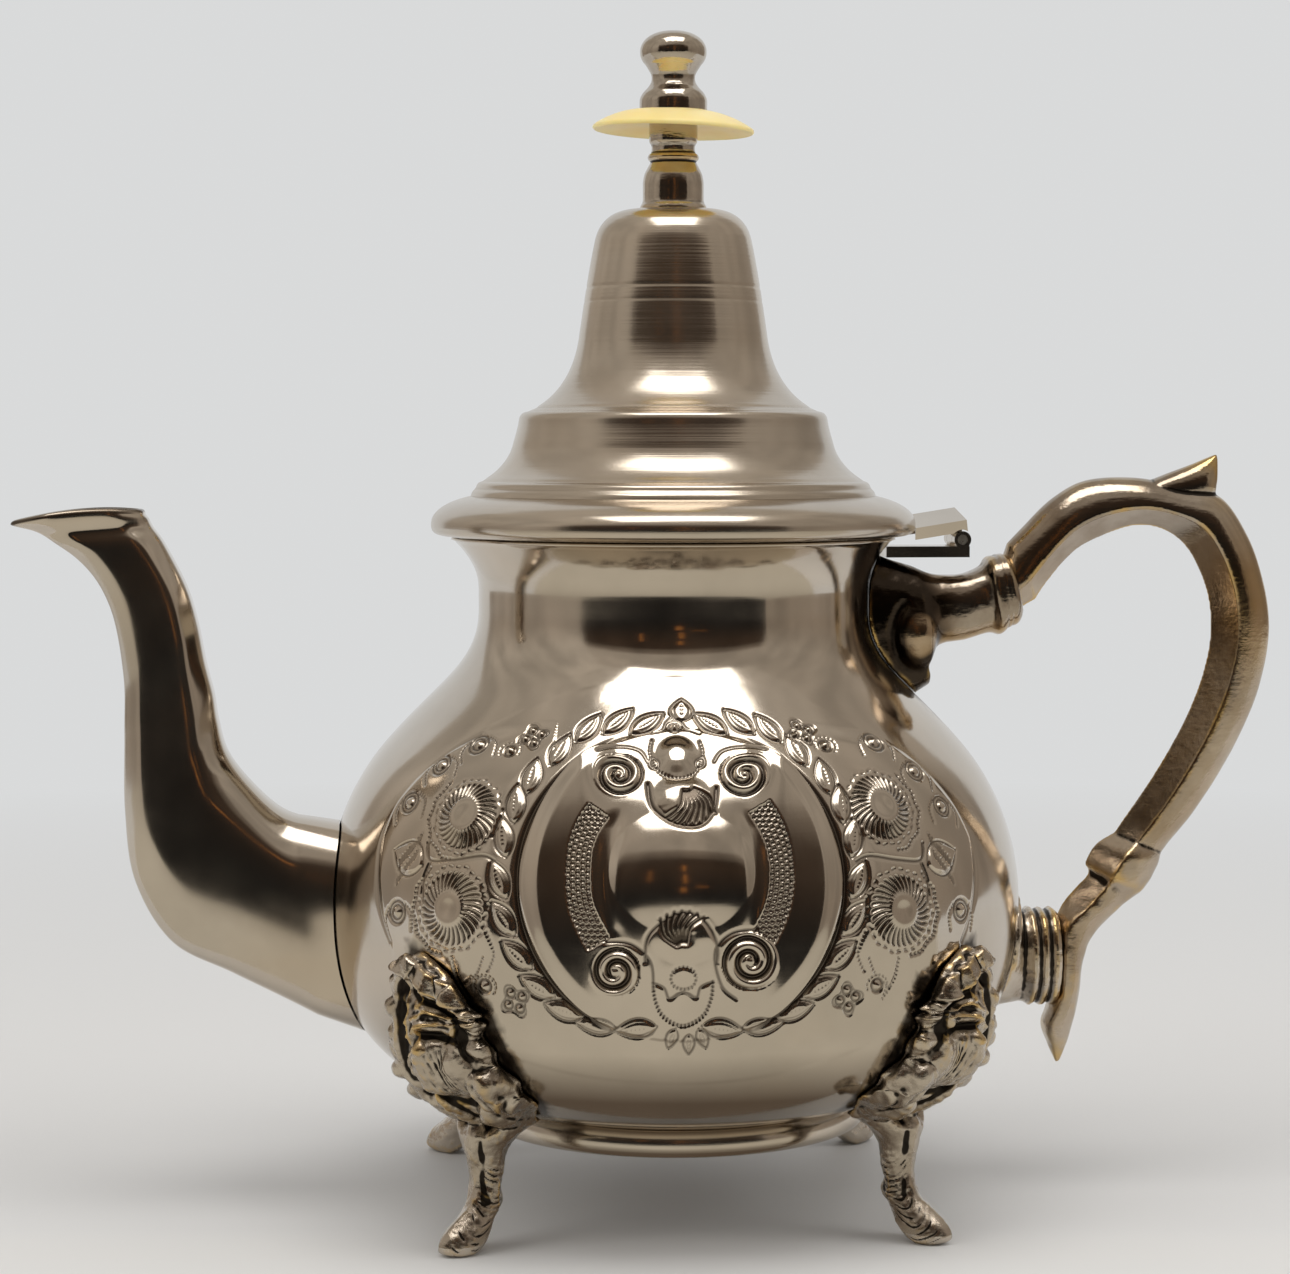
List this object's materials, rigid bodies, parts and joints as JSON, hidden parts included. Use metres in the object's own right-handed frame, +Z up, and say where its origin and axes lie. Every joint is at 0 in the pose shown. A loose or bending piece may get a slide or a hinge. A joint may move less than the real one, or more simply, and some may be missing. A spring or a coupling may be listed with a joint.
{
  "type": "teapot",
  "caption": "Footed metal teapot with a pear-shaped body, an S-curved spout, a cast side handle and a hinged, stepped bell lid with a heat disc and a knob.",
  "frame": {"origin": "on the pot's vertical axis, in the plane of the table that the four soles stand on", "axes": "+Z up along the body's axis; +X towards the handle, with the spout on -X; +Y to the far chased side"},
  "size_m": [0.252, 0.1398, 0.2328],
  "materials": {
    "nickel_silver": "polished nickel silver with fine spun lines and light tarnish",
    "cast_nickel_silver": "cast, dark in the recesses and worn to brass on the edges",
    "cream_disc": "cream heat-insulating disc, satin",
    "steel": "plain steel fastener"
  },
  "bodies": {
    "pot": {"body": "nickel_silver", "foot_ring": "nickel_silver", "spout": "nickel_silver", "handle_upper_bracket": "cast_nickel_silver", "handle_grip": "cast_nickel_silver", "handle_lower_bracket": "cast_nickel_silver", "leg_front_left": "cast_nickel_silver", "leg_front_right": "cast_nickel_silver", "leg_rear_left": "cast_nickel_silver", "leg_rear_right": "cast_nickel_silver", "hinge_body_leaf": "nickel_silver", "hinge_pin": "steel"},
    "lid": {"hinge_lid_leaf": "nickel_silver", "lid_rim": "nickel_silver", "lid_dome": "nickel_silver", "lid_collar": "nickel_silver", "finial_stem": "cast_nickel_silver", "finial_disc": "cream_disc", "finial_knob": "cast_nickel_silver", "finial_screw": "steel", "finial_washer": "steel"}
  },
  "joints": [
    {"name": "lid_hinge", "type": "hinge", "parent": "pot", "child": "lid", "pos_m": [0.0576, 0, 0.1323], "axis": [0, 1, 0], "range_deg": [0, 100]}
  ]
}
